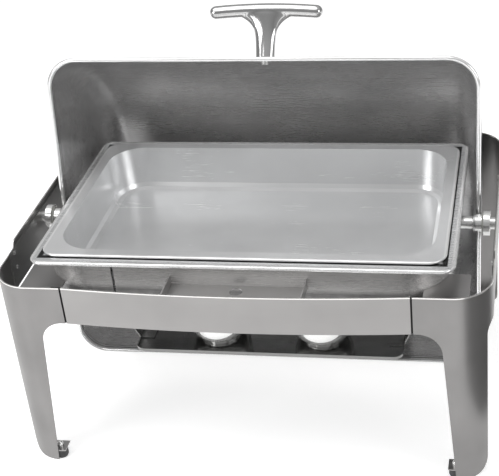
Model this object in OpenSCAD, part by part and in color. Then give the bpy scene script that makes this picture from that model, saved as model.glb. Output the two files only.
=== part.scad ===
// Roll top chafer with a full-size food pan.
// X runs along the width, Y from the front to the back, Z up; the origin is on the table
// below the middle of the frame. The lid is drawn rolled open on its stops.

/* [View] */
// Sub-part to draw, or "all"

/* [Frame] */
// Width over the two side panels
frame_w = 646; // [640:1:664]
// Distance from the pivot axis to the outer face of the front legs
frame_front = 207; // [200:1:215]
// Distance from the pivot axis to the outer face of the rear legs
frame_rear = 233; // [232:1:245]
// Outer bend radius of the frame corners
frame_corner_r = 50; // [48:1:52]
// Height of the side panels' top edge
panel_top = 296; // [292:1:300]
// Height of the front band's top edge
band_top = 286; // [280:1:287]
// Height of the lower edge of the bands and panels
band_bottom = 232; // [220:1:240]
// Forward bow of the front and rear bands
band_bow = 10; // [4:1:14]
// Thickness of the frame sheet
sheet_t = 1.5; // [1.2:0.1:2]

/* [Lid] */
// Height of the pivot axis above the table
pivot_z = 273; // [272:1:275]
// Outer radius of the lid shell about the pivot axis
lid_r = 221; // [218:1:222]
// Width over the lid's end walls
lid_w = 589; // [586:1:590]
// Fillet between the end walls and the curved shell
lid_fillet = 40; // [30:1:44]
// Height of the closed lid's rim above the pivot axis
rim_lift = 20; // [18:1:21]
// Angle the lid turns from closed to fully open
open_angle = 99; // [92:1:100]
// Width of the handle bar
handle_w = 160; // [146:1:170]
// Height of the handle over the lid
handle_h = 78; // [74:1:84]

/* [Pans] */
// Height of the water pan's rim
water_rim_z = 305; // [303:1:307]
// Length of the food pan over its rim
food_l = 530; // [520:1:532]
// Width of the food pan over its rim
food_w = 325; // [318:1:327]
// Depth of the food pan
food_depth = 65; // [40:1:68]

/* [Fuel] */
// Height of the fuel shelf
shelf_z = 90; // [86:1:96]
// Distance of each fuel cup from the middle
cup_x = 76; // [66:1:90]
// Distance of the fuel cups in front of the pivot axis
cup_front = 15; // [0:1:17]
// Radius of a fuel cup at its mouth
cup_r = 43; // [38:1:45]

/* [Hidden] */
$fn = 96;

steel = [0.72, 0.72, 0.70];
bright = [0.86, 0.87, 0.88];
dark = [0.12, 0.12, 0.12];
nylon = [0.85, 0.84, 0.80];

half_w = frame_w / 2;
in_x = half_w - sheet_t;
joint_x = 226;           // where the bands meet the legs
leg_top_x = 262;         // inner edge of a leg below its arch
leg_foot_x = 276;        // inner edge of a leg at the table
arch_r = 31;
arch_z = band_bottom - arch_r;
side_arch_r = 14;
leg_side = 25;           // depth of a leg's side
foot_round = 24;         // radius of a leg's outer bottom corner
stiff_y0 = -132;         // front edge of the panel stiffeners
tab_z = 14;              // height of the tabs that the feet are screwed to
foot_at = [1.5, -39.2];  // middle of a foot, from the centre of its leg's bend
drop_start = 104;        // where the panels' top edge starts to fall to the front
drop_end = 116;
lap = 14;                // overlap of the band ends behind the legs
lap_depth = 2.3;         // room for the band's laps behind the legs
fit_gap = 0.1;

lid_t = 1.2;
bead_r = 3;
bead_out = 1.9;          // the rim bead's centre lies this far outside the shell
lid_in_x = lid_w / 2 - lid_t;
hub_r = 12;
hub_out_x = lid_w / 2 + 7;
plate_t = 3;
bore_r = 5.05;
shaft_r = 5;
washer_t = 2;
stop_r = 4;
stop_reach = 44;         // distance of the stop pins behind the axis
plate_len = 66;
plate_half = 12;
handle_pos = 30 - open_angle;   // direction of the handle on the closed lid
bar_r = 9;
stem_r = 13;
// Half widths of the handle's flared stem at depths below the middle of its bar
flare = [[14, handle_h - bar_r - 1], [14, 57], [15.3, 48], [18.2, 39], [23.4, 30], [28, 25],
    [33.5, 20.5], [41, 17], [54, 13.5], [66, 10.5], [66, 4]];

pan_t = 1.2;
water_half_x = 277;
water_half_y = 176;
water_open_x = 256;
water_open_y = 153.5;
water_depth = 92;
food_rim_z = water_rim_z + 4;
cradle_x = 268;
cradle_y = 167.5;
cradle_r = 65;
cradle_low = 232;
cup_h = 46;
damper_t = 1.5;
pin_off = 36;            // distance of a damper's pin behind its cup's middle
cover_z = shelf_z + cup_h + 1.7;

// ---------- shared shapes ----------

// Filled rectangle with rounded corners, centred on the origin.
module rounded_rect(hx, hy, r) {
    square([2 * hx, 2 * (hy - r)], center = true);
    square([2 * (hx - r), 2 * hy], center = true);
    for (sx = [-1, 1], sy = [-1, 1]) translate([sx * (hx - r), sy * (hy - r)]) circle(r);
}

// Sweeps a profile drawn outward from a corner's centre round a rounded rectangle.
module swept_edge(hx, hy, r) {
    for (c = [[1, 1, 0], [-1, 1, 90], [-1, -1, 180], [1, -1, 270]])
        translate([c[0] * (hx - r), c[1] * (hy - r), 0]) rotate([0, 0, c[2]])
            rotate_extrude(angle = 90) children();
    for (s = [0, 180]) {
        rotate([0, 0, s]) translate([hx - r, hy - r, 0]) rotate([90, 0, 0])
            linear_extrude(2 * (hy - r)) children();
        rotate([0, 0, s]) translate([-(hx - r), hy - r, 0]) rotate([90, 0, 90])
            linear_extrude(2 * (hx - r)) children();
    }
}

// Lays closed-lid shapes over to the open position.
module opened() {
    translate([0, 0, pivot_z]) rotate([-open_angle, 0, 0]) children();
}

module along_x(r, x0, x1) {
    translate([x0, 0, 0]) rotate([0, 90, 0]) cylinder(r = r, h = x1 - x0);
}

// Moves shapes drawn about the pivot axis so that the frame stands centred on the origin.
module placed() {
    translate([0, (frame_front - frame_rear) / 2, 0]) children();
}

module side_pair() {
    children();
    mirror([1, 0, 0]) children();
}

// ---------- frame ----------

module frame_tube() {
    mid = (frame_rear - frame_front) / 2;
    half_y = (frame_rear + frame_front) / 2;
    translate([0, mid, 0]) linear_extrude(panel_top) difference() {
        rounded_rect(half_w, half_y, frame_corner_r);
        rounded_rect(in_x, half_y - sheet_t, frame_corner_r - sheet_t);
    }
}

// Everything above the panels' top edge, seen from the side.
module above_panel() {
    rise = panel_top + 1;
    rotate([90, 0, 90]) linear_extrude(2 * frame_w, center = true)
        polygon([[-frame_front - 5, band_top], [-drop_end, band_top],
            [-drop_end + 3, band_top + 0.5], [-drop_start - 3, panel_top - 0.5],
            [-drop_start, panel_top], [-drop_start, rise], [-frame_front - 5, rise]]);
}

// Opening between the front and rear legs of one side, with the legs' rounded bottom corners.
module side_arch() {
    y0 = -frame_front + leg_side;
    y1 = frame_rear - leg_side;
    rotate([90, 0, 90]) linear_extrude(2 * frame_w, center = true) {
        translate([y0, -1]) square([y1 - y0, band_bottom - side_arch_r + 1]);
        translate([y0 + side_arch_r, 0]) square([y1 - y0 - 2 * side_arch_r, band_bottom]);
        for (y = [y0 + side_arch_r, y1 - side_arch_r])
            translate([y, band_bottom - side_arch_r]) circle(side_arch_r);
        for (e = [[y0 - foot_round, y0 - foot_round], [y1, y1 + foot_round]]) difference() {
            translate([e[0], -1]) square([foot_round, foot_round + 1]);
            translate([e[1], foot_round]) circle(foot_round);
        }
    }
}

// Opening between the left and right legs, through the front and the rear.
module front_arch() {
    rotate([90, 0, 0]) linear_extrude(1000, center = true) {
        polygon([[-leg_foot_x, -1], [leg_foot_x, -1], [leg_top_x, arch_z], [-leg_top_x, arch_z]]);
        square([2 * (leg_top_x - arch_r), 2 * band_bottom], center = true);
        for (s = [-1, 1]) translate([s * (leg_top_x - arch_r), arch_z]) circle(arch_r);
    }
}

module left_side_frame() {
    color(steel) difference() {
        frame_tube();
        translate([-joint_x, -500, -1]) cube([1000, 1000, 1000]);
        above_panel();
        side_arch();
        front_arch();
    }
}

module right_side_frame() {
    mirror([1, 0, 0]) left_side_frame();
}

// Bowed strip with a flat lap at each end, drawn for a front at y = 0.
module bowed_band(z0, z1) {
    span = joint_x - 3;
    bow_r = (span * span + band_bow * band_bow) / (2 * band_bow);
    step = 2.1;              // the laps' outer faces lie this far behind the legs' faces
    translate([0, 0, z0]) linear_extrude(z1 - z0) {
        intersection() {
            translate([0, bow_r - band_bow]) difference() {
                circle(bow_r);
                circle(bow_r - sheet_t);
            }
            translate([-span, -band_bow - 1]) square([2 * span, band_bow + 4]);
        }
        for (s = [-1, 1]) translate([s * span, (step + sheet_t) / 2])
            square([sheet_t, step + sheet_t], center = true);
        for (s = [-1, 1]) translate([s * (span + lap / 2), step + sheet_t / 2])
            square([lap, sheet_t], center = true);
    }
}

module front_band() {
    color(steel) translate([0, -frame_front, 0]) bowed_band(band_bottom, band_top);
}

module rear_band() {
    color(steel) mirror([0, 1, 0]) translate([0, -frame_rear, 0])
        bowed_band(band_bottom, panel_top);
}

// Flat gussets between the cradle and the two front corners, below the frame's top edge.
module front_corner_plates() {
    inner_x = 236;
    outer_x = 293;
    plate_z = 265;
    color(steel) side_pair() translate([0, 0, plate_z]) linear_extrude(sheet_t) difference() {
        intersection() {
            translate([0, (frame_rear - frame_front) / 2])
                rounded_rect(in_x - fit_gap, (frame_rear + frame_front) / 2 - sheet_t - fit_gap,
                    frame_corner_r - sheet_t - fit_gap);
            translate([inner_x, -frame_front + sheet_t + lap_depth])
                square([outer_x - inner_x, frame_front - 120 - sheet_t - lap_depth]);
        }
        rounded_rect(cradle_x + fit_gap, cradle_y + fit_gap, cradle_r + fit_gap);
    }
}

// Doubling plate inside each side panel that carries the pivot boss.
module panel_stiffeners() {
    stiff_h = 48;
    color(steel) side_pair()
        translate([in_x - sheet_t, stiff_y0, band_bottom + 8])
            cube([sheet_t, -2 * stiff_y0, stiff_h]);
}

module stiffener_rivets() {
    color(bright) side_pair() for (y = [stiff_y0 + 16, -stiff_y0 - 16], z = [260, 282])
        translate([in_x - sheet_t - 1, y, z]) rotate([0, 90, 0]) cylinder(r = 2.5, h = 1);
}

// Repeats a shape drawn round the bend centre of the front right leg at all four legs.
module at_feet() {
    translate([0, (frame_rear - frame_front) / 2, 0]) for (a = [0, 180]) rotate([0, 0, a])
        side_pair() translate([half_w - frame_corner_r,
            frame_corner_r - (frame_rear + frame_front) / 2, 0]) children();
}

module foot_tabs() {
    color(steel) at_feet() translate([0, 0, tab_z]) linear_extrude(sheet_t) difference() {
        intersection() {
            circle(frame_corner_r - sheet_t - fit_gap / 2);
            translate([-8, -frame_corner_r]) square([23, 23]);
        }
        translate(foot_at) circle(2.6);
    }
}

module foot_pads() {
    color(dark) at_feet() translate(foot_at) {
        cylinder(r1 = 7.5, r2 = 9, h = 3);
        translate([0, 0, 3]) cylinder(r = 9, h = tab_z - 3.05);
    }
}

// Domed nuts on the feet's studs.
module foot_nuts() {
    nut_r = 4.2;
    color(bright) at_feet() translate([foot_at[0], foot_at[1], tab_z]) {
        cylinder(r = 2.5, h = sheet_t + 1);
        translate([0, 0, sheet_t + 0.05]) cylinder(r = nut_r, h = 4.5);
        translate([0, 0, sheet_t + 4.5]) sphere(nut_r);
    }
}

// ---------- inner structure ----------

// Sheet ring under the water pan's rim, with an open seam in its front.
module pan_cradle() {
    seat = water_rim_z - 2.5;
    seam_w = 3.5;
    color(steel) difference() {
        translate([0, 0, cradle_low]) linear_extrude(seat - cradle_low)
            rounded_rect(cradle_x, cradle_y, cradle_r);
        translate([0, 0, cradle_low + sheet_t]) linear_extrude(100)
            rounded_rect(cradle_x - sheet_t, cradle_y - sheet_t, cradle_r - sheet_t);
        translate([0, 0, cradle_low - 1]) linear_extrude(10)
            rounded_rect(cradle_x - 9, cradle_y - 9, cradle_r - 8);
        translate([-168, -cradle_y - 5, cradle_low - 1]) cube([seam_w, 20, 100]);
        for (s = [-1, 1]) translate([s * cradle_x, 0, pivot_z]) rotate([0, 90, 0])
            cylinder(r = shaft_r + fit_gap, h = 10, center = true);
    }
}

// Channel that ties the cradle to the front band.
module front_bracket() {
    bracket_half = 90;
    floor_z = 270;
    y0 = -frame_front - band_bow + 2 * sheet_t + 1.5;
    len = -cradle_y - fit_gap - y0;
    color(steel) difference() {
        translate([-bracket_half, y0, floor_z]) cube([2 * bracket_half, len, 15]);
        translate([-bracket_half + sheet_t, y0 - 1, floor_z + sheet_t])
            cube([2 * (bracket_half - sheet_t), len + 2, 20]);
        translate([0, -182, floor_z - 1]) cylinder(r = 8.5, h = 5);
    }
}

// Flat sheet with a narrow turned-down lip.
module fuel_shelf() {
    shelf_x = 194;
    shelf_y = 62;
    lip = 4;
    color(bright) difference() {
        translate([0, 0, shelf_z - lip]) linear_extrude(lip) rounded_rect(shelf_x, shelf_y, 14);
        translate([0, 0, shelf_z - lip - 1]) linear_extrude(lip + 1 - sheet_t)
            rounded_rect(shelf_x - sheet_t, shelf_y - sheet_t, 14 - sheet_t);
    }
}

// Slanted strap from one end of the fuel shelf up to the cradle.
module left_shelf_hanger() {
    x0 = -172;
    x1 = -264;
    y_half = 36;
    z0 = shelf_z + fit_gap;
    z1 = cradle_low - fit_gap;
    color(steel) translate([0, y_half, 0]) rotate([90, 0, 0]) linear_extrude(2 * y_half)
        polygon([[x0, z0], [x0 - 21, z0], [x1 + 6, z1 - sheet_t], [x1, z1 - sheet_t],
            [x1, z1], [x1 + 7.2, z1], [x0 - 20, z0 + sheet_t], [x0, z0 + sheet_t]]);
}

module right_shelf_hanger() {
    mirror([1, 0, 0]) left_shelf_hanger();
}

// ---------- pivots ----------

// Fixed shaft with a collar between the cradle and the lid's pivot plate.
module right_pivot_shaft() {
    color(bright) translate([0, 0, pivot_z]) {
        along_x(shaft_r, cradle_x - sheet_t - 3, in_x - sheet_t - 1.7);
        along_x(9, cradle_x + fit_gap, lid_in_x - plate_t - 1);
    }
}

module left_pivot_shaft() {
    mirror([1, 0, 0]) right_pivot_shaft();
}

// Drum on a short neck between each stiffener and the lid's hub.
module pivot_bosses() {
    drum_out_x = 312.5;
    color(steel) side_pair() translate([0, 0, pivot_z]) difference() {
        union() {
            along_x(17, hub_out_x + washer_t + 0.4, drum_out_x);
            along_x(8.5, drum_out_x - 1, in_x - sheet_t);
        }
        along_x(shaft_r + fit_gap, 0, half_w - 3 - sheet_t);
    }
}

module pivot_washers() {
    color(nylon) side_pair() translate([0, 0, pivot_z]) difference() {
        along_x(14, hub_out_x + 0.2, hub_out_x + washer_t + 0.2);
        along_x(shaft_r + fit_gap, 0, half_w);
    }
}

// Pins on the cradle that the open lid's pivot plates come to rest on.
module lid_stop_pins() {
    color(bright) side_pair() translate([0, 0, pivot_z]) rotate([-open_angle + 90, 0, 0])
        translate([0, stop_reach, -(plate_half + stop_r + 0.05)])
            along_x(stop_r, cradle_x + fit_gap, lid_in_x - 0.6);
}

// ---------- lid ----------

module lid_solid(r, half_x, fillet) {
    rotate([0, 90, 0]) rotate_extrude() {
        translate([0, -half_x]) square([r - fillet, 2 * half_x]);
        translate([0, -half_x + fillet]) square([r, 2 * (half_x - fillet)]);
        for (s = [-1, 1]) translate([r - fillet, s * (half_x - fillet)]) circle(fillet);
    }
}

module lid_shell() {
    rim_half = sqrt(lid_r * lid_r - rim_lift * rim_lift);
    color(steel) opened() {
        difference() {
            lid_solid(lid_r, lid_w / 2, lid_fillet);
            lid_solid(lid_r - lid_t, lid_in_x, lid_fillet - lid_t);
            translate([-500, -500, rim_lift - 1000]) cube([1000, 1000, 1000]);
        }
        translate([0, 0, rim_lift])
            swept_edge(lid_w / 2 + bead_out, rim_half + bead_out, lid_fillet + bead_out)
                translate([lid_fillet + bead_out, 0]) circle(bead_r);
    }
}

module right_lid_pivot_plate() {
    color(steel) opened() difference() {
        union() {
            along_x(plate_half, lid_in_x - plate_t, lid_in_x);
            translate([lid_in_x - plate_t, -plate_half, 0])
                cube([plate_t, 2 * plate_half, plate_len - plate_half]);
            translate([0, 0, plate_len - plate_half])
                along_x(plate_half, lid_in_x - plate_t, lid_in_x);
        }
        along_x(bore_r, lid_in_x - plate_t - 1, lid_in_x + 1);
    }
}

module left_lid_pivot_plate() {
    mirror([1, 0, 0]) right_lid_pivot_plate();
}

module right_lid_hub() {
    color(bright) opened() difference() {
        along_x(hub_r, lid_in_x, hub_out_x);
        along_x(bore_r, lid_in_x - 1, hub_out_x + 1);
    }
}

module left_lid_hub() {
    mirror([1, 0, 0]) right_lid_hub();
}

module lid_plate_rivets() {
    color(bright) side_pair() opened() for (z = [rim_lift + 16, plate_len - plate_half + 2])
        translate([0, 0, z]) along_x(3, lid_w / 2, lid_w / 2 + 1.6);
}

module on_lid() {
    opened() rotate([-handle_pos, 0, 0]) children();
}

// Cast T-shaped handle: a bar with rounded ends on a flared stem.
module lid_handle() {
    color(bright) on_lid() {
        translate([0, 0, lid_r + handle_h - bar_r]) {
            along_x(bar_r, -handle_w / 2 + bar_r, handle_w / 2 - bar_r);
            for (s = [-1, 1]) translate([s * (handle_w / 2 - bar_r), 0, 0]) sphere(bar_r);
            translate([0, bar_r - 1, 0]) rotate([90, 0, 0]) linear_extrude(2 * bar_r - 2)
                side_pair() polygon(concat([for (p = flare) [p[0], -p[1]]],
                    [[-1, -4], [-1, -flare[0][1]]]));
        }
        translate([0, 0, lid_r + 0.6]) cylinder(r = stem_r, h = 26);
    }
}

module handle_washers() {
    color(bright) on_lid() translate([0, 0, lid_r - lid_t - 2.2]) difference() {
        cylinder(r = 10, h = 1.6);
        translate([0, 0, -1]) cylinder(r = 3.2, h = 5);
    }
}

module handle_screws() {
    color(bright) on_lid() {
        translate([0, 0, lid_r - lid_t - 6.4]) cylinder(r = 5.5, h = 4.2);
        translate([0, 0, lid_r - lid_t - 3]) cylinder(r = 3, h = 2.2);
    }
}

// ---------- pans ----------

// Deep-drawn pan hanging from a flat rim with a rolled edge.
module drawn_pan(rim_x, rim_y, rim_r, open_x, open_y, open_r, depth, bead) {
    draft = 5;
    toe = 10;
    difference() {
        union() {
            translate([0, 0, -pan_t]) linear_extrude(pan_t)
                rounded_rect(rim_x - bead, rim_y - bead, rim_r);
            swept_edge(rim_x - bead, rim_y - bead, rim_r)
                translate([rim_r, -bead]) circle(bead);
        }
        translate([0, 0, -20]) linear_extrude(40)
            rounded_rect(open_x - pan_t, open_y - pan_t, open_r - pan_t);
    }
    swept_edge(open_x, open_y, open_r)
        polygon([[open_r, 0], [open_r - draft, -depth + toe],
            [open_r - draft - toe * 0.3, -depth + toe * 0.3], [open_r - draft - toe, -depth],
            [0, -depth], [0, -depth + pan_t], [open_r - draft - toe, -depth + pan_t],
            [open_r - draft - toe * 0.35 - pan_t * 0.7, -depth + toe * 0.35 + pan_t * 0.6],
            [open_r - draft - pan_t, -depth + toe], [open_r - pan_t, 0]]);
    translate([-(open_x - open_r), -(open_y - open_r), -depth])
        cube([2 * (open_x - open_r), 2 * (open_y - open_r), pan_t]);
}

module water_pan() {
    color(steel) translate([0, 0, water_rim_z])
        drawn_pan(water_half_x, water_half_y, 16, water_open_x, water_open_y, 54,
            water_depth, 2.6);
}

module food_pan() {
    color(bright) translate([0, 0, food_rim_z])
        drawn_pan(food_l / 2, food_w / 2, 22, food_l / 2 - 15, food_w / 2 - 15, 48,
            food_depth, 1.9);
}

// ---------- burners ----------

// Pot with a rounded bottom, grown or shrunk by its wall.
module cup_solid(r, bend, h) {
    rotate_extrude() {
        square([r - bend, h]);
        translate([0, bend]) square([r, h - bend]);
        intersection() {
            translate([r - bend, bend]) circle(bend);
            square([r, bend]);
        }
    }
}

// Round-bottomed cup with an in-turned rim and a foot ring.
module fuel_cup() {
    wall = 1.2;
    bend = 20;
    foot_h = 3;
    color(bright) {
        translate([0, 0, foot_h]) difference() {
            cup_solid(cup_r, bend, cup_h - foot_h);
            translate([0, 0, wall]) cup_solid(cup_r - wall, bend - wall, cup_h);
        }
        difference() {
            cylinder(r = cup_r - 13, h = foot_h + 1.6);
            translate([0, 0, -1]) cylinder(r = cup_r - 16, h = foot_h + 4);
        }
        translate([0, 0, cup_h]) difference() {
            cylinder(r = cup_r + 1.8, h = wall);
            translate([0, 0, -1]) cylinder(r = cup_r - 10, h = wall + 2);
        }
    }
}

module right_fuel_cup() {
    translate([cup_x, -cup_front, shelf_z + 0.1]) fuel_cup();
}

module left_fuel_cup() {
    mirror([1, 0, 0]) right_fuel_cup();
}

// Sliding cover that turns about a pin at the back of its cup to set the flame.
module right_damper() {
    cover_r = 34;
    color(steel) translate([cup_x, -cup_front, cover_z]) difference() {
        union() {
            cylinder(r = cover_r, h = damper_t);
            translate([0, pin_off, 0]) cylinder(r = 7, h = damper_t);
            translate([-5, -cover_r - 24, 0]) cube([10, 26, damper_t]);
        }
        translate([0, pin_off, -1]) cylinder(r = 2.05, h = 5);
    }
}

module left_damper() {
    mirror([1, 0, 0]) right_damper();
}

module right_damper_pin() {
    color(bright) translate([cup_x, pin_off - cup_front, cover_z]) {
        translate([0, 0, -0.3]) cylinder(r = 2, h = damper_t + 0.5);
        translate([0, 0, damper_t + 0.2]) cylinder(r = 4, h = 1.5);
    }
}

module left_damper_pin() {
    mirror([1, 0, 0]) right_damper_pin();
}

placed() left_side_frame();
placed() right_side_frame();
placed() front_band();
placed() rear_band();
placed() front_corner_plates();
placed() panel_stiffeners();
placed() stiffener_rivets();
placed() foot_tabs();
placed() foot_pads();
placed() foot_nuts();
placed() pan_cradle();
placed() front_bracket();
placed() fuel_shelf();
placed() left_shelf_hanger();
placed() right_shelf_hanger();
placed() left_pivot_shaft();
placed() right_pivot_shaft();
placed() pivot_bosses();
placed() pivot_washers();
placed() lid_stop_pins();
placed() lid_shell();
placed() left_lid_pivot_plate();
placed() right_lid_pivot_plate();
placed() left_lid_hub();
placed() right_lid_hub();
placed() lid_plate_rivets();
placed() lid_handle();
placed() handle_washers();
placed() handle_screws();
placed() water_pan();
placed() food_pan();
placed() left_fuel_cup();
placed() right_fuel_cup();
placed() left_damper();
placed() right_damper();
placed() left_damper_pin();
placed() right_damper_pin();
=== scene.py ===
import bpy
import bmesh
import math
from mathutils import Matrix, Vector


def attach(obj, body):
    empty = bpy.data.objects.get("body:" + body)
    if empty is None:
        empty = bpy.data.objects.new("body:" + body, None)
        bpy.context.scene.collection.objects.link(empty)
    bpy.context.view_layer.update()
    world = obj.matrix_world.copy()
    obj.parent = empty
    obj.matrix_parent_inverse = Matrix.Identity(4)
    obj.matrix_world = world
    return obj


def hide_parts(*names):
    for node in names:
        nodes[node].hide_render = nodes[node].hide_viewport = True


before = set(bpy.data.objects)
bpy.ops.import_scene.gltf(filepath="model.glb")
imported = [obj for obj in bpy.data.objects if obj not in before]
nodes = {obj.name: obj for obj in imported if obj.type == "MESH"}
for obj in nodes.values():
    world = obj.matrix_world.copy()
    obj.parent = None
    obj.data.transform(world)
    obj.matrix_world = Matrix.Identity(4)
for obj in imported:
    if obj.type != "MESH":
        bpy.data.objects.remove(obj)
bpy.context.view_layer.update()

MM = 0.001
PIVOT_Z = 273 * MM
AXIS_BACK = 13 * MM
OPEN_ANGLE = 99.0
LID_R = 221 * MM
HANDLE_LEAN = 30.0

# ---------------------------------------------------------------- camera

# Place in metres, angles in radians, focal length and picture centre in pixels of the frame.
CAM_PLACE = (0.3680, -1.5034, 1.1376)
CAM_YAW, CAM_PITCH, CAM_ROLL = -0.2019, 0.5310, -0.0846
CAM_FOCAL_PX = 1268.0
IMAGE_W, IMAGE_H = 499, 476
CENTRE_PX = (309.0, 238.0)


def make_camera():
    cy, sy = math.cos(CAM_YAW), math.sin(CAM_YAW)
    cp, sp = math.cos(CAM_PITCH), math.sin(CAM_PITCH)
    forward = Vector((sy * cp, cy * cp, -sp))
    right = Vector((cy, -sy, 0))
    up = right.cross(forward)
    cr, sr = math.cos(CAM_ROLL), math.sin(CAM_ROLL)
    r2 = cr * right + sr * up
    u2 = -sr * right + cr * up
    data = bpy.data.cameras.new("camera")
    data.sensor_width = 36
    data.lens = CAM_FOCAL_PX * 36 / IMAGE_W
    data.shift_x = (IMAGE_W / 2 - CENTRE_PX[0]) / IMAGE_W
    data.shift_y = (CENTRE_PX[1] - IMAGE_H / 2) / IMAGE_W
    data.clip_start, data.clip_end = 0.05, 50
    cam = bpy.data.objects.new("camera", data)
    rot = Matrix((r2, u2, -forward)).transposed()
    cam.matrix_world = Matrix.Translation(CAM_PLACE) @ rot.to_4x4()
    bpy.context.scene.collection.objects.link(cam)
    bpy.context.scene.camera = cam


make_camera()
bpy.context.scene.view_settings.view_transform = "Standard"

# ---------------------------------------------------------------- materials


def link(t, a, b):
    t.links.new(a, b)


def new_tree(name):
    m = bpy.data.materials.new(name)
    m.use_nodes = True
    t = m.node_tree
    t.nodes.clear()
    out = t.nodes.new("ShaderNodeOutputMaterial")
    p = t.nodes.new("ShaderNodeBsdfPrincipled")
    link(t, p.outputs[0], out.inputs[0])
    return m, t, p


def noise(t, coord, scale, detail=4, rough=0.5, stretch=(1, 1, 1), offset=0.0):
    mp = t.nodes.new("ShaderNodeMapping")
    mp.inputs["Scale"].default_value = stretch
    mp.inputs["Location"].default_value = (offset, offset * 0.7, offset * 1.3)
    link(t, coord, mp.inputs["Vector"])
    n = t.nodes.new("ShaderNodeTexNoise")
    n.inputs["Scale"].default_value = scale
    n.inputs["Detail"].default_value = detail
    n.inputs["Roughness"].default_value = rough
    link(t, mp.outputs[0], n.inputs["Vector"])
    return n.outputs["Fac"]


def ramp(t, fac, lo, hi, out_lo, out_hi):
    r = t.nodes.new("ShaderNodeMapRange")
    r.inputs["From Min"].default_value = lo
    r.inputs["From Max"].default_value = hi
    r.inputs["To Min"].default_value = out_lo
    r.inputs["To Max"].default_value = out_hi
    link(t, fac, r.inputs["Value"])
    return r.outputs[0]


def math_node(t, op, a, b):
    n = t.nodes.new("ShaderNodeMath")
    n.operation = op
    for i, v in enumerate((a, b)):
        if isinstance(v, (int, float)):
            n.inputs[i].default_value = v
        else:
            link(t, v, n.inputs[i])
    return n.outputs[0]


def mix_color(t, fac, a, b, mode="MIX"):
    """Mixes two colours, each a tuple or another node's output."""
    n = t.nodes.new("ShaderNodeMix")
    n.data_type = "RGBA"
    n.blend_type = mode
    link(t, fac, n.inputs[0])
    for socket, value in ((n.inputs[6], a), (n.inputs[7], b)):
        if isinstance(value, tuple):
            socket.default_value = (*value, 1)
        else:
            link(t, value, socket)
    return n.outputs[2]


def mix_value(t, fac, a, b):
    n = t.nodes.new("ShaderNodeMix")
    for socket, value in zip((n.inputs[0], n.inputs[2], n.inputs[3]), (fac, a, b)):
        link(t, value, socket)
    return n.outputs[0]


def position(t):
    return t.nodes.new("ShaderNodeTexCoord").outputs["Object"]


def dot(t, coord, direction, offset=0.0):
    n = t.nodes.new("ShaderNodeVectorMath")
    n.operation = "DOT_PRODUCT"
    link(t, coord, n.inputs[0])
    n.inputs[1].default_value = direction
    return math_node(t, "ADD", n.outputs["Value"], offset)


def bump(t, p, height, depth, strength=0.5):
    b = t.nodes.new("ShaderNodeBump")
    b.inputs["Strength"].default_value = strength
    b.inputs["Distance"].default_value = depth
    link(t, height, b.inputs["Height"])
    link(t, b.outputs[0], p.inputs["Normal"])


def cut_edges(t):
    """1 on the sheared edges and flat rims that face up or down, else 0."""
    g = t.nodes.new("ShaderNodeNewGeometry")
    up = math_node(t, "ABSOLUTE", dot(t, g.outputs["Normal"], (0, 0, 1)), 0)
    return ramp(t, up, 0.80, 0.95, 0, 1)


def rounded_rim(t, tc, half_x, half_y, width):
    """1 on the rolled edge of a pan's rim, else 0."""
    ax = math_node(t, "ABSOLUTE", dot(t, tc, (1, 0, 0), 0.0), 0)
    ay = math_node(t, "ABSOLUTE", dot(t, tc, (0, 1, 0), AXIS_BACK), 0)
    far = math_node(t, "MAXIMUM", math_node(t, "SUBTRACT", ax, half_x - width),
                    math_node(t, "SUBTRACT", ay, half_y - width))
    return ramp(t, far, -0.0002, 0.0002, 0, 1)


# Near black, mixed in as painted shade in seams, grooves, laps and the cradle's lower part.
PAINTED_SHADE_BLACK = (0.02, 0.02, 0.02)


def brushed(name, color, rough, axis="X", fine=1500, stretch=60, depth=0.00002, aniso=0.4,
            vary=0.05, stain=0.04, cloud=0.10, metal=1.0, mask=None, edge=(0.86, 0.85, 0.83),
            edge_rough=0.16, groove=None):
    """Stainless steel with fine brush lines along one axis, faint stains and worn sheen.
    The first mask picks the places that are polished and painted brighter as a highlight,
    such as rolled rims and cut edges; the second those that are painted near black as shade."""
    m, t, p = new_tree(name)
    tc = position(t)
    s = {"X": (1 / stretch, 1, 1), "Y": (1, 1 / stretch, 1), "Z": (1, 1, 1 / stretch)}[axis]
    lines = noise(t, tc, fine, 6, 0.65, s)
    broad = noise(t, tc, 9, 3, 0.5, offset=3.1)
    smear = noise(t, tc, 38, 5, 0.6, s if axis != "Z" else (1, 1, 0.3), offset=7.7)
    r = ramp(t, lines, 0.3, 0.7, rough - vary * 0.5, rough + vary * 0.5)
    r = math_node(t, "ADD", r, ramp(t, broad, 0.3, 0.7, -vary * 0.4, vary * 0.4))
    r = math_node(t, "ADD", r, ramp(t, smear, 0.35, 0.75, -vary * 0.2, vary * 0.4))
    dark = tuple(c * (1 - stain) for c in color)
    shade = math_node(t, "MULTIPLY", ramp(t, smear, 0.3, 0.8, 0, 1),
                      ramp(t, lines, 0.2, 0.8, 0.5, 1))
    tint = mix_color(t, shade, color, dark)
    patches = ramp(t, noise(t, tc, 7, 3, 0.55, offset=11.3), 0.38, 0.64, 0, 1)
    tint = mix_color(t, patches, tint, (1 - cloud,) * 3, "MULTIPLY")
    # Painted highlight: the masked places take the brighter edge colour; their lower roughness is
    # their polish.
    if mask:
        k = mask(t, tc)
        tint = mix_color(t, k, tint, edge)
        r = mix_value(t, k, r, ramp(t, smear, 0.3, 0.7, edge_rough, edge_rough + 0.04))
    # Painted shade: these places are mixed towards near black.
    if groove:
        tint = mix_color(t, groove(t, tc), tint, PAINTED_SHADE_BLACK)
    link(t, r, p.inputs["Roughness"])
    link(t, tint, p.inputs["Base Color"])
    p.inputs["Metallic"].default_value = metal
    p.inputs["Anisotropic"].default_value = aniso
    bump(t, p, lines, depth)
    return m


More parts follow.
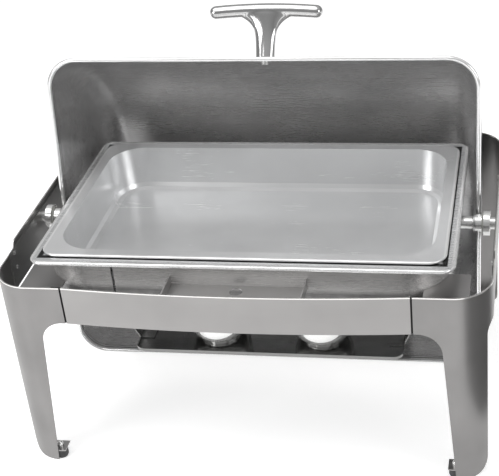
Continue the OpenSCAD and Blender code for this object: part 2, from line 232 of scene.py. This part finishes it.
def polished(name, color, rough, vary=0.03, ripple=0.0001, ripple_scale=30, metal=1.0):
    """Polished metal with faint swirl marks and a slightly uneven surface."""
    m, t, p = new_tree(name)
    tc = position(t)
    swirl = noise(t, tc, 420, 5, 0.7, offset=1.7)
    broad = noise(t, tc, ripple_scale, 3, 0.5, offset=5.2)
    r = ramp(t, swirl, 0.3, 0.7, rough, rough + vary)
    r = math_node(t, "ADD", r, ramp(t, broad, 0.35, 0.7, -vary * 0.3, vary * 0.8))
    link(t, r, p.inputs["Roughness"])
    dark = tuple(c * 0.93 for c in color)
    link(t, mix_color(t, ramp(t, broad, 0.3, 0.7, 0, 1), color, dark), p.inputs["Base Color"])
    p.inputs["Metallic"].default_value = metal
    bump(t, p, broad, ripple, 0.6)
    return m


def plastic(name, color, rough, grain=700, depth=0.0002):
    """Moulded rubber or nylon with a fine grain and scuffs."""
    m, t, p = new_tree(name)
    tc = position(t)
    scuff = noise(t, tc, 60, 6, 0.7, offset=2.2)
    link(t, ramp(t, scuff, 0.35, 0.7, rough - 0.08, rough + 0.12), p.inputs["Roughness"])
    light = tuple(min(1, c * 1.5 + 0.02) for c in color)
    link(t, mix_color(t, ramp(t, scuff, 0.5, 0.8, 0, 1), color, light), p.inputs["Base Color"])
    bump(t, p, noise(t, tc, grain, 4, 0.6), depth)
    return m


def band_between(t, value, low, high, soft=0.0003):
    return math_node(t, "MULTIPLY", ramp(t, value, low - soft, low + soft, 0, 1),
                     ramp(t, value, high - soft, high + soft, 1, 0))


def frame_edge_highlight_mask(t, tc):
    """Cut edges and the thin line along the frame's top edge, painted brighter as a highlight."""
    z = dot(t, tc, (0, 0, 1))
    y = dot(t, tc, (0, 1, 0))
    front = math_node(t, "MULTIPLY", band_between(t, z, 0.2846, 0.2865),
                      ramp(t, y, -0.130, -0.128, 1, 0))
    line = math_node(t, "MAXIMUM", front, ramp(t, z, 0.2944, 0.2949, 0, 1))
    return math_node(t, "MAXIMUM", cut_edges(t), line)


def above_rim(t, tc):
    """Height over the plane of the closed lid's rim, measured on the open lid."""
    a = math.radians(OPEN_ANGLE)
    up = (0, math.sin(a), math.cos(a))
    return dot(t, tc, up, AXIS_BACK * up[1] - PIVOT_Z * up[2] - 0.020)


def lid_rim_highlight_mask(t, tc):
    """The rolled rim and the flange above it, polished and painted brighter as a highlight."""
    h = above_rim(t, tc)
    return math_node(t, "ADD", ramp(t, h, 0.0027, 0.0032, 1, 0),
                     math_node(t, "MULTIPLY", band_between(t, h, 0.0046, 0.0078), 0.75))


def lid_groove_shade_mask(t, tc):
    """Painted shade in the two grooves that border the flange."""
    h = above_rim(t, tc)
    return math_node(t, "ADD", band_between(t, h, 0.0032, 0.0046),
                     band_between(t, h, 0.0080, 0.0088))


def under_food_rim_shade_mask(t, tc):
    """Painted shade in the seam between the food pan's rim and the water pan's flange."""
    ax = math_node(t, "ABSOLUTE", dot(t, tc, (1, 0, 0), 0.0), 0)
    ay = math_node(t, "ABSOLUTE", dot(t, tc, (0, 1, 0), AXIS_BACK), 0)
    far = math_node(t, "MAXIMUM", math_node(t, "SUBTRACT", ax, 265 * MM),
                    math_node(t, "SUBTRACT", ay, 162.5 * MM))
    return math_node(t, "MULTIPLY", ramp(t, far, 0.0014, 0.0020, 1, 0),
                     ramp(t, far, -0.006, -0.004, 0, 1))


def lid_painted_shade_mask(t, tc):
    """Painted shade in the flange's grooves and on the outer faces of the end walls."""
    ax = math_node(t, "ABSOLUTE", dot(t, tc, (1, 0, 0), 0.0), 0)
    wall = math_node(t, "MULTIPLY", ramp(t, ax, 0.2937, 0.2941, 0, 0.6),
                     ramp(t, above_rim(t, tc), 0.0088, 0.0095, 0, 1))
    return math_node(t, "MAXIMUM", lid_groove_shade_mask(t, tc), wall)


def band_lap_shade_mask(t, tc):
    """Painted shade on the band's laps behind the legs."""
    ax = math_node(t, "ABSOLUTE", dot(t, tc, (1, 0, 0), 0.0), 0)
    return ramp(t, ax, 0.2232, 0.2238, 0, 1)


def cradle_painted_shade_mask(t, tc):
    """Painted shade on the lower part of the cradle, patchy and darker towards the bottom."""
    patchy = noise(t, tc, 40, 4, 0.6, offset=4.4)
    low = ramp(t, dot(t, tc, (0, 0, 1)), 0.262, 0.2695, 0.85, 0)
    return math_node(t, "MULTIPLY", low, ramp(t, patchy, 0.3, 0.7, 0.85, 1))


# Painted highlight on the water pan's rolled rim, which is also polished.
def water_rim_highlight_mask(t, tc):
    return rounded_rim(t, tc, 277 * MM, 176 * MM, 5.4 * MM)


# Painted highlight on the food pan's rolled rim, which is also polished.
def food_rim_mask(t, tc):
    return rounded_rim(t, tc, 265 * MM, 162.5 * MM, 4.0 * MM)


BAND_STEEL = brushed("band_steel", (0.35, 0.342, 0.338), 0.34, "X", mask=frame_edge_highlight_mask,
                     groove=band_lap_shade_mask)
SIDE_STEEL = brushed("side_steel", (0.28, 0.274, 0.271), 0.33, "Z", mask=frame_edge_highlight_mask,
                     cloud=0.16)
PLATE_STEEL = brushed("plate_steel", (0.42, 0.411, 0.408), 0.34, "X", cloud=0.16)
# Lighter and less metallic than the frame steel: painted light on the bracket, which sits in shade
# under the pan's rim.
BRACKET_STEEL = brushed("bracket_steel", (0.46, 0.452, 0.448), 0.30, "X", metal=0.7)
CRADLE_STEEL = brushed("cradle_steel", (0.82, 0.81, 0.80), 0.27, "X", metal=0.66,
                       groove=cradle_painted_shade_mask)
INNER_STEEL = brushed("inner_steel", (0.33, 0.326, 0.322), 0.34, "X", cloud=0.3)
LID_STEEL = brushed("lid_steel", (0.72, 0.715, 0.715), 0.27, "X", stretch=24, depth=0.00001,
                    vary=0.03, metal=0.8, stain=0.02, cloud=0.12, mask=lid_rim_highlight_mask,
                    edge=(0.92, 0.92, 0.92), groove=lid_painted_shade_mask)
LID_PLATE_STEEL = brushed("lid_plate_steel", (0.45, 0.45, 0.45), 0.34, "Z")
WATER_STEEL = brushed("water_pan_steel", (0.74, 0.745, 0.75), 0.27, "X", depth=0.000006, stain=0.015,
                      metal=0.74, mask=water_rim_highlight_mask, edge=(0.95, 0.95, 0.95),
                      groove=under_food_rim_shade_mask)
FOOD_STEEL = brushed("food_pan_steel", (0.84, 0.845, 0.85), 0.24, "X", depth=0.000006, stain=0.015,
                     metal=0.62, mask=food_rim_mask, edge=(0.95, 0.95, 0.95))
SHELF_STEEL = brushed("shelf_steel", (0.30, 0.30, 0.295), 0.12, "X", vary=0.04)
CUP_STEEL = polished("cup_steel", (0.93, 0.93, 0.92), 0.09, metal=0.78)
CHROME = polished("cast_chrome", (0.62, 0.62, 0.62), 0.09, ripple=0.00025, ripple_scale=45)
PIN_STEEL = polished("pin_steel", (0.84, 0.84, 0.83), 0.14, metal=0.78)
RUBBER = plastic("foot_rubber", (0.028, 0.028, 0.029), 0.50)
NYLON = plastic("washer_plastic", (0.30, 0.30, 0.28), 0.45)

BY_NODE = {
    "left_side_frame": SIDE_STEEL, "right_side_frame": SIDE_STEEL,
    "front_band": BAND_STEEL, "rear_band": BAND_STEEL,
    "front_corner_plates": PLATE_STEEL, "panel_stiffeners": INNER_STEEL,
    "stiffener_rivets": PIN_STEEL, "foot_tabs": PLATE_STEEL, "foot_pads": RUBBER,
    "foot_nuts": PIN_STEEL, "pan_cradle": CRADLE_STEEL,
    "front_bracket": BRACKET_STEEL, "fuel_shelf": SHELF_STEEL,
    "left_shelf_hanger": SHELF_STEEL, "right_shelf_hanger": SHELF_STEEL,
    "left_pivot_shaft": PIN_STEEL, "right_pivot_shaft": PIN_STEEL,
    "pivot_bosses": PIN_STEEL, "pivot_washers": NYLON, "lid_stop_pins": PIN_STEEL,
    "lid_shell": LID_STEEL, "left_lid_pivot_plate": LID_PLATE_STEEL,
    "right_lid_pivot_plate": LID_PLATE_STEEL, "left_lid_hub": PIN_STEEL,
    "right_lid_hub": PIN_STEEL, "lid_plate_rivets": PIN_STEEL, "lid_handle": CHROME,
    "handle_washers": PIN_STEEL, "handle_screws": PIN_STEEL, "water_pan": WATER_STEEL,
    "food_pan": FOOD_STEEL, "left_fuel_cup": CUP_STEEL, "right_fuel_cup": CUP_STEEL,
    "left_damper": SHELF_STEEL, "right_damper": SHELF_STEEL,
    "left_damper_pin": PIN_STEEL, "right_damper_pin": PIN_STEEL,
}
for name, obj in nodes.items():
    obj.data.materials.clear()
    obj.data.materials.append(BY_NODE[name])

# ---------------------------------------------------------------- handle


def ring(bm, centre, across, around, count=32):
    """Ellipse of vertices; across and around are its two half-axis vectors."""
    return [bm.verts.new(Vector(centre) + Vector(across) * math.cos(2 * math.pi * i / count)
                         + Vector(around) * math.sin(2 * math.pi * i / count))
            for i in range(count)]


def loft(bm, rings):
    for a, b in zip(rings, rings[1:]):
        for i in range(len(a)):
            j = (i + 1) % len(a)
            bm.faces.new((a[i], a[j], b[j], b[i]))
    bm.faces.new(list(reversed(rings[0])))
    bm.faces.new(rings[-1])


def make_handle():
    """Cast T handle: a slightly arched round bar that flows into a waisted stem."""
    bar_at, half, bar_r, arch = 69 * MM, 80 * MM, 9.2 * MM, 3 * MM
    bar_steps, cap_steps, stem_steps = 40, 7, 32
    bm = bmesh.new()
    rings = []
    for i in range(bar_steps + 1):
        u = -1 + 2 * i / bar_steps
        x = (half - bar_r) * u
        rings.append(ring(bm, (x, 0, bar_at - arch * u * u), (0, bar_r, 0), (0, 0, bar_r)))
    for end in (-1, 1):
        cap = []
        for i in range(1, cap_steps + 1):
            a = math.pi / 2 * i / (cap_steps + 0.5)
            cap.append(ring(bm, (end * (half - bar_r + bar_r * math.sin(a)), 0, bar_at - arch),
                            (0, bar_r * math.cos(a), 0), (0, 0, bar_r * math.cos(a))))
        rings = list(reversed(cap)) + rings if end < 0 else rings + cap
    loft(bm, rings)
    rings = []
    for i in range(stem_steps + 1):
        d = (bar_at - 1.5 * MM) * i / stem_steps
        up = d / bar_at
        flare = 46 * MM * max(0.0, (up - 0.2) / 0.8) ** 4.6 + 5 * MM * up ** 2
        wide = 13.5 * MM + flare
        deep = (8.8 - 1.6 * math.sin(math.pi * min(1, up * 1.1))) * MM
        z = d - arch * (wide / half) ** 2 if up > 0.9 else d
        rings.append(ring(bm, (0, 0, z + 0.6 * MM), (wide, 0, 0), (0, deep, 0)))
    loft(bm, rings)
    bm.normal_update()
    mesh = bpy.data.meshes.new("handle_casting")
    bm.to_mesh(mesh)
    bm.free()
    o = bpy.data.objects.new("handle_casting", mesh)
    bpy.context.scene.collection.objects.link(o)
    remesh = o.modifiers.new("one_casting", "REMESH")
    remesh.mode = "VOXEL"
    remesh.voxel_size = 1.0 * MM
    remesh.use_smooth_shade = True
    smooth = o.modifiers.new("blend", "SMOOTH")
    smooth.factor = 0.5
    smooth.iterations = 10
    mesh.materials.append(CHROME)
    o.matrix_world = (Matrix.Translation((0, -AXIS_BACK, PIVOT_Z))
                      @ Matrix.Rotation(math.radians(-HANDLE_LEAN), 4, "X")
                      @ Matrix.Translation((0, 0, LID_R)))
    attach(o, "lid")
    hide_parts("lid_handle")


make_handle()

# ---------------------------------------------------------------- studio

LIGHT_TARGET = (0, 0, 0.2)


def make_floor():
    m, t, p = new_tree("floor")
    tc = t.nodes.new("ShaderNodeTexCoord").outputs["Object"]
    g = noise(t, tc, 3, 2, 0.5)
    link(t, mix_color(t, g, (0.93, 0.93, 0.93), (0.95, 0.95, 0.95)), p.inputs["Base Color"])
    p.inputs["Roughness"].default_value = 0.35
    p.inputs["Emission Color"].default_value = (1, 1, 1, 1)
    p.inputs["Emission Strength"].default_value = 0.48
    mesh = bpy.data.meshes.new("floor")
    bm = bmesh.new()
    bmesh.ops.create_grid(bm, x_segments=4, y_segments=4, size=6)
    bm.to_mesh(mesh)
    bm.free()
    floor = bpy.data.objects.new("floor", mesh)
    mesh.materials.append(m)
    bpy.context.scene.collection.objects.link(floor)


def area_light(name, place, size, power):
    """Square soft light aimed at the middle of the object."""
    d = bpy.data.lights.new(name, "AREA")
    d.energy = power
    d.size = size
    o = bpy.data.objects.new(name, d)
    o.location = place
    aim = Vector(LIGHT_TARGET) - Vector(place)
    o.rotation_euler = aim.to_track_quat("-Z", "Y").to_euler()
    bpy.context.scene.collection.objects.link(o)


def make_world():
    """Grey sky, darkest a little above the horizon; the camera sees a pale backdrop instead."""
    w = bpy.data.worlds.new("studio")
    bpy.context.scene.world = w
    w.use_nodes = True
    t = w.node_tree
    t.nodes.clear()
    out = t.nodes.new("ShaderNodeOutputWorld")
    bg = t.nodes.new("ShaderNodeBackground")
    tc = t.nodes.new("ShaderNodeTexCoord")
    sep = t.nodes.new("ShaderNodeSeparateXYZ")
    link(t, tc.outputs["Generated"], sep.inputs[0])
    cr = t.nodes.new("ShaderNodeValToRGB")
    cr.color_ramp.elements[0].position = 0.0
    cr.color_ramp.elements[0].color = (0.44, 0.44, 0.44, 1)
    cr.color_ramp.elements[1].position = 1.0
    cr.color_ramp.elements[1].color = (0.72, 0.72, 0.72, 1)
    e = cr.color_ramp.elements.new(0.35)
    e.color = (0.30, 0.30, 0.30, 1)
    link(t, sep.outputs[2], cr.inputs[0])
    link(t, cr.outputs[0], bg.inputs[0])
    bg.inputs[1].default_value = 0.97
    backdrop = t.nodes.new("ShaderNodeBackground")
    backdrop.inputs[0].default_value = (0.94, 0.94, 0.94, 1)
    seen = t.nodes.new("ShaderNodeMixShader")
    link(t, t.nodes.new("ShaderNodeLightPath").outputs["Is Camera Ray"], seen.inputs[0])
    link(t, bg.outputs[0], seen.inputs[1])
    link(t, backdrop.outputs[0], seen.inputs[2])
    link(t, seen.outputs[0], out.inputs[0])


def make_flag(name, place, width, height, turn):
    """Dark card outside the picture that gives the steel something dark to mirror."""
    m, t, p = new_tree(name)
    g = noise(t, position(t), 12, 3, 0.5)
    link(t, mix_color(t, g, (0.30, 0.30, 0.30), (0.38, 0.38, 0.38)), p.inputs["Base Color"])
    p.inputs["Roughness"].default_value = 0.9
    mesh = bpy.data.meshes.new(name)
    bm = bmesh.new()
    bmesh.ops.create_grid(bm, x_segments=2, y_segments=2, size=0.5)
    bm.to_mesh(mesh)
    bm.free()
    card = bpy.data.objects.new(name, mesh)
    mesh.materials.append(m)
    card.matrix_world = (Matrix.Translation(place) @ Matrix.Rotation(math.radians(turn), 4, "Z")
                         @ Matrix.Rotation(math.radians(90), 4, "X")
                         @ Matrix.Diagonal((width, height, 1, 1)))
    bpy.context.scene.collection.objects.link(card)
    card.visible_camera = False
    card.visible_shadow = False


make_floor()
make_world()
make_flag("flag_right", (0.42, -0.24, 0.19), 0.34, 0.36, 90)
area_light("top", (-0.5, -0.3, 2.4), 2.0, 22)
area_light("front_left", (-2.0, -2.0, 1.6), 1.4, 24)
area_light("right", (2.2, -1.2, 1.4), 1.2, 13)
